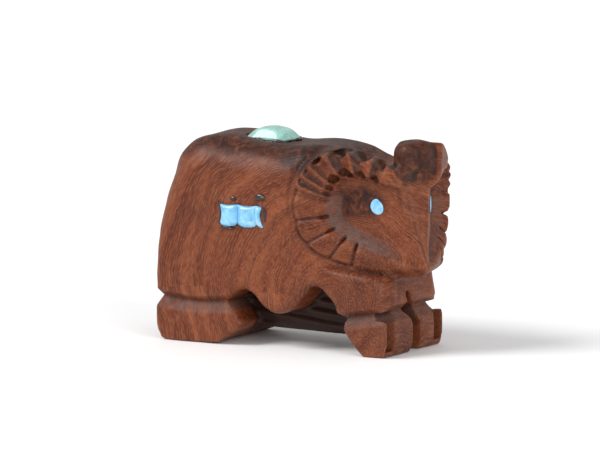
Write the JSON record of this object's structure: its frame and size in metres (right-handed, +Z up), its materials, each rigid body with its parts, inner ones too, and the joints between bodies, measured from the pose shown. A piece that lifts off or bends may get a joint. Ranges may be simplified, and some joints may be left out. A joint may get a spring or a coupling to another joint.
{
  "type": "carved animal figurine",
  "caption": "Small standing ram carved from one block of figured wood, with curled ribbed horns, turquoise eyes and stone inlays glued into its flanks and back.",
  "frame": {"origin": "on the ground under the middle of the object's length and width", "axes": "+X the way the body points, +Y to its left, +Z up"},
  "size_m": [0.0641, 0.0282, 0.0463],
  "materials": {
    "wood": "hand-carved figured root wood, waxed to a soft sheen on the open faces and left matt in the cuts",
    "sky_turquoise": "polished light blue turquoise",
    "green_turquoise": "rough-shaped pale green turquoise with buff matrix",
    "glue": "dark glossy set glue"
  },
  "bodies": {
    "root": {"carved_body": "wood", "right_eye": "sky_turquoise", "left_eye": "sky_turquoise", "right_eye_glue": "glue", "left_eye_glue": "glue", "right_flank_stone": "sky_turquoise", "left_flank_stone": "sky_turquoise", "right_flank_glue": "glue", "left_flank_glue": "glue", "back_stone": "green_turquoise", "back_stone_glue": "glue"}
  },
  "joints": []
}
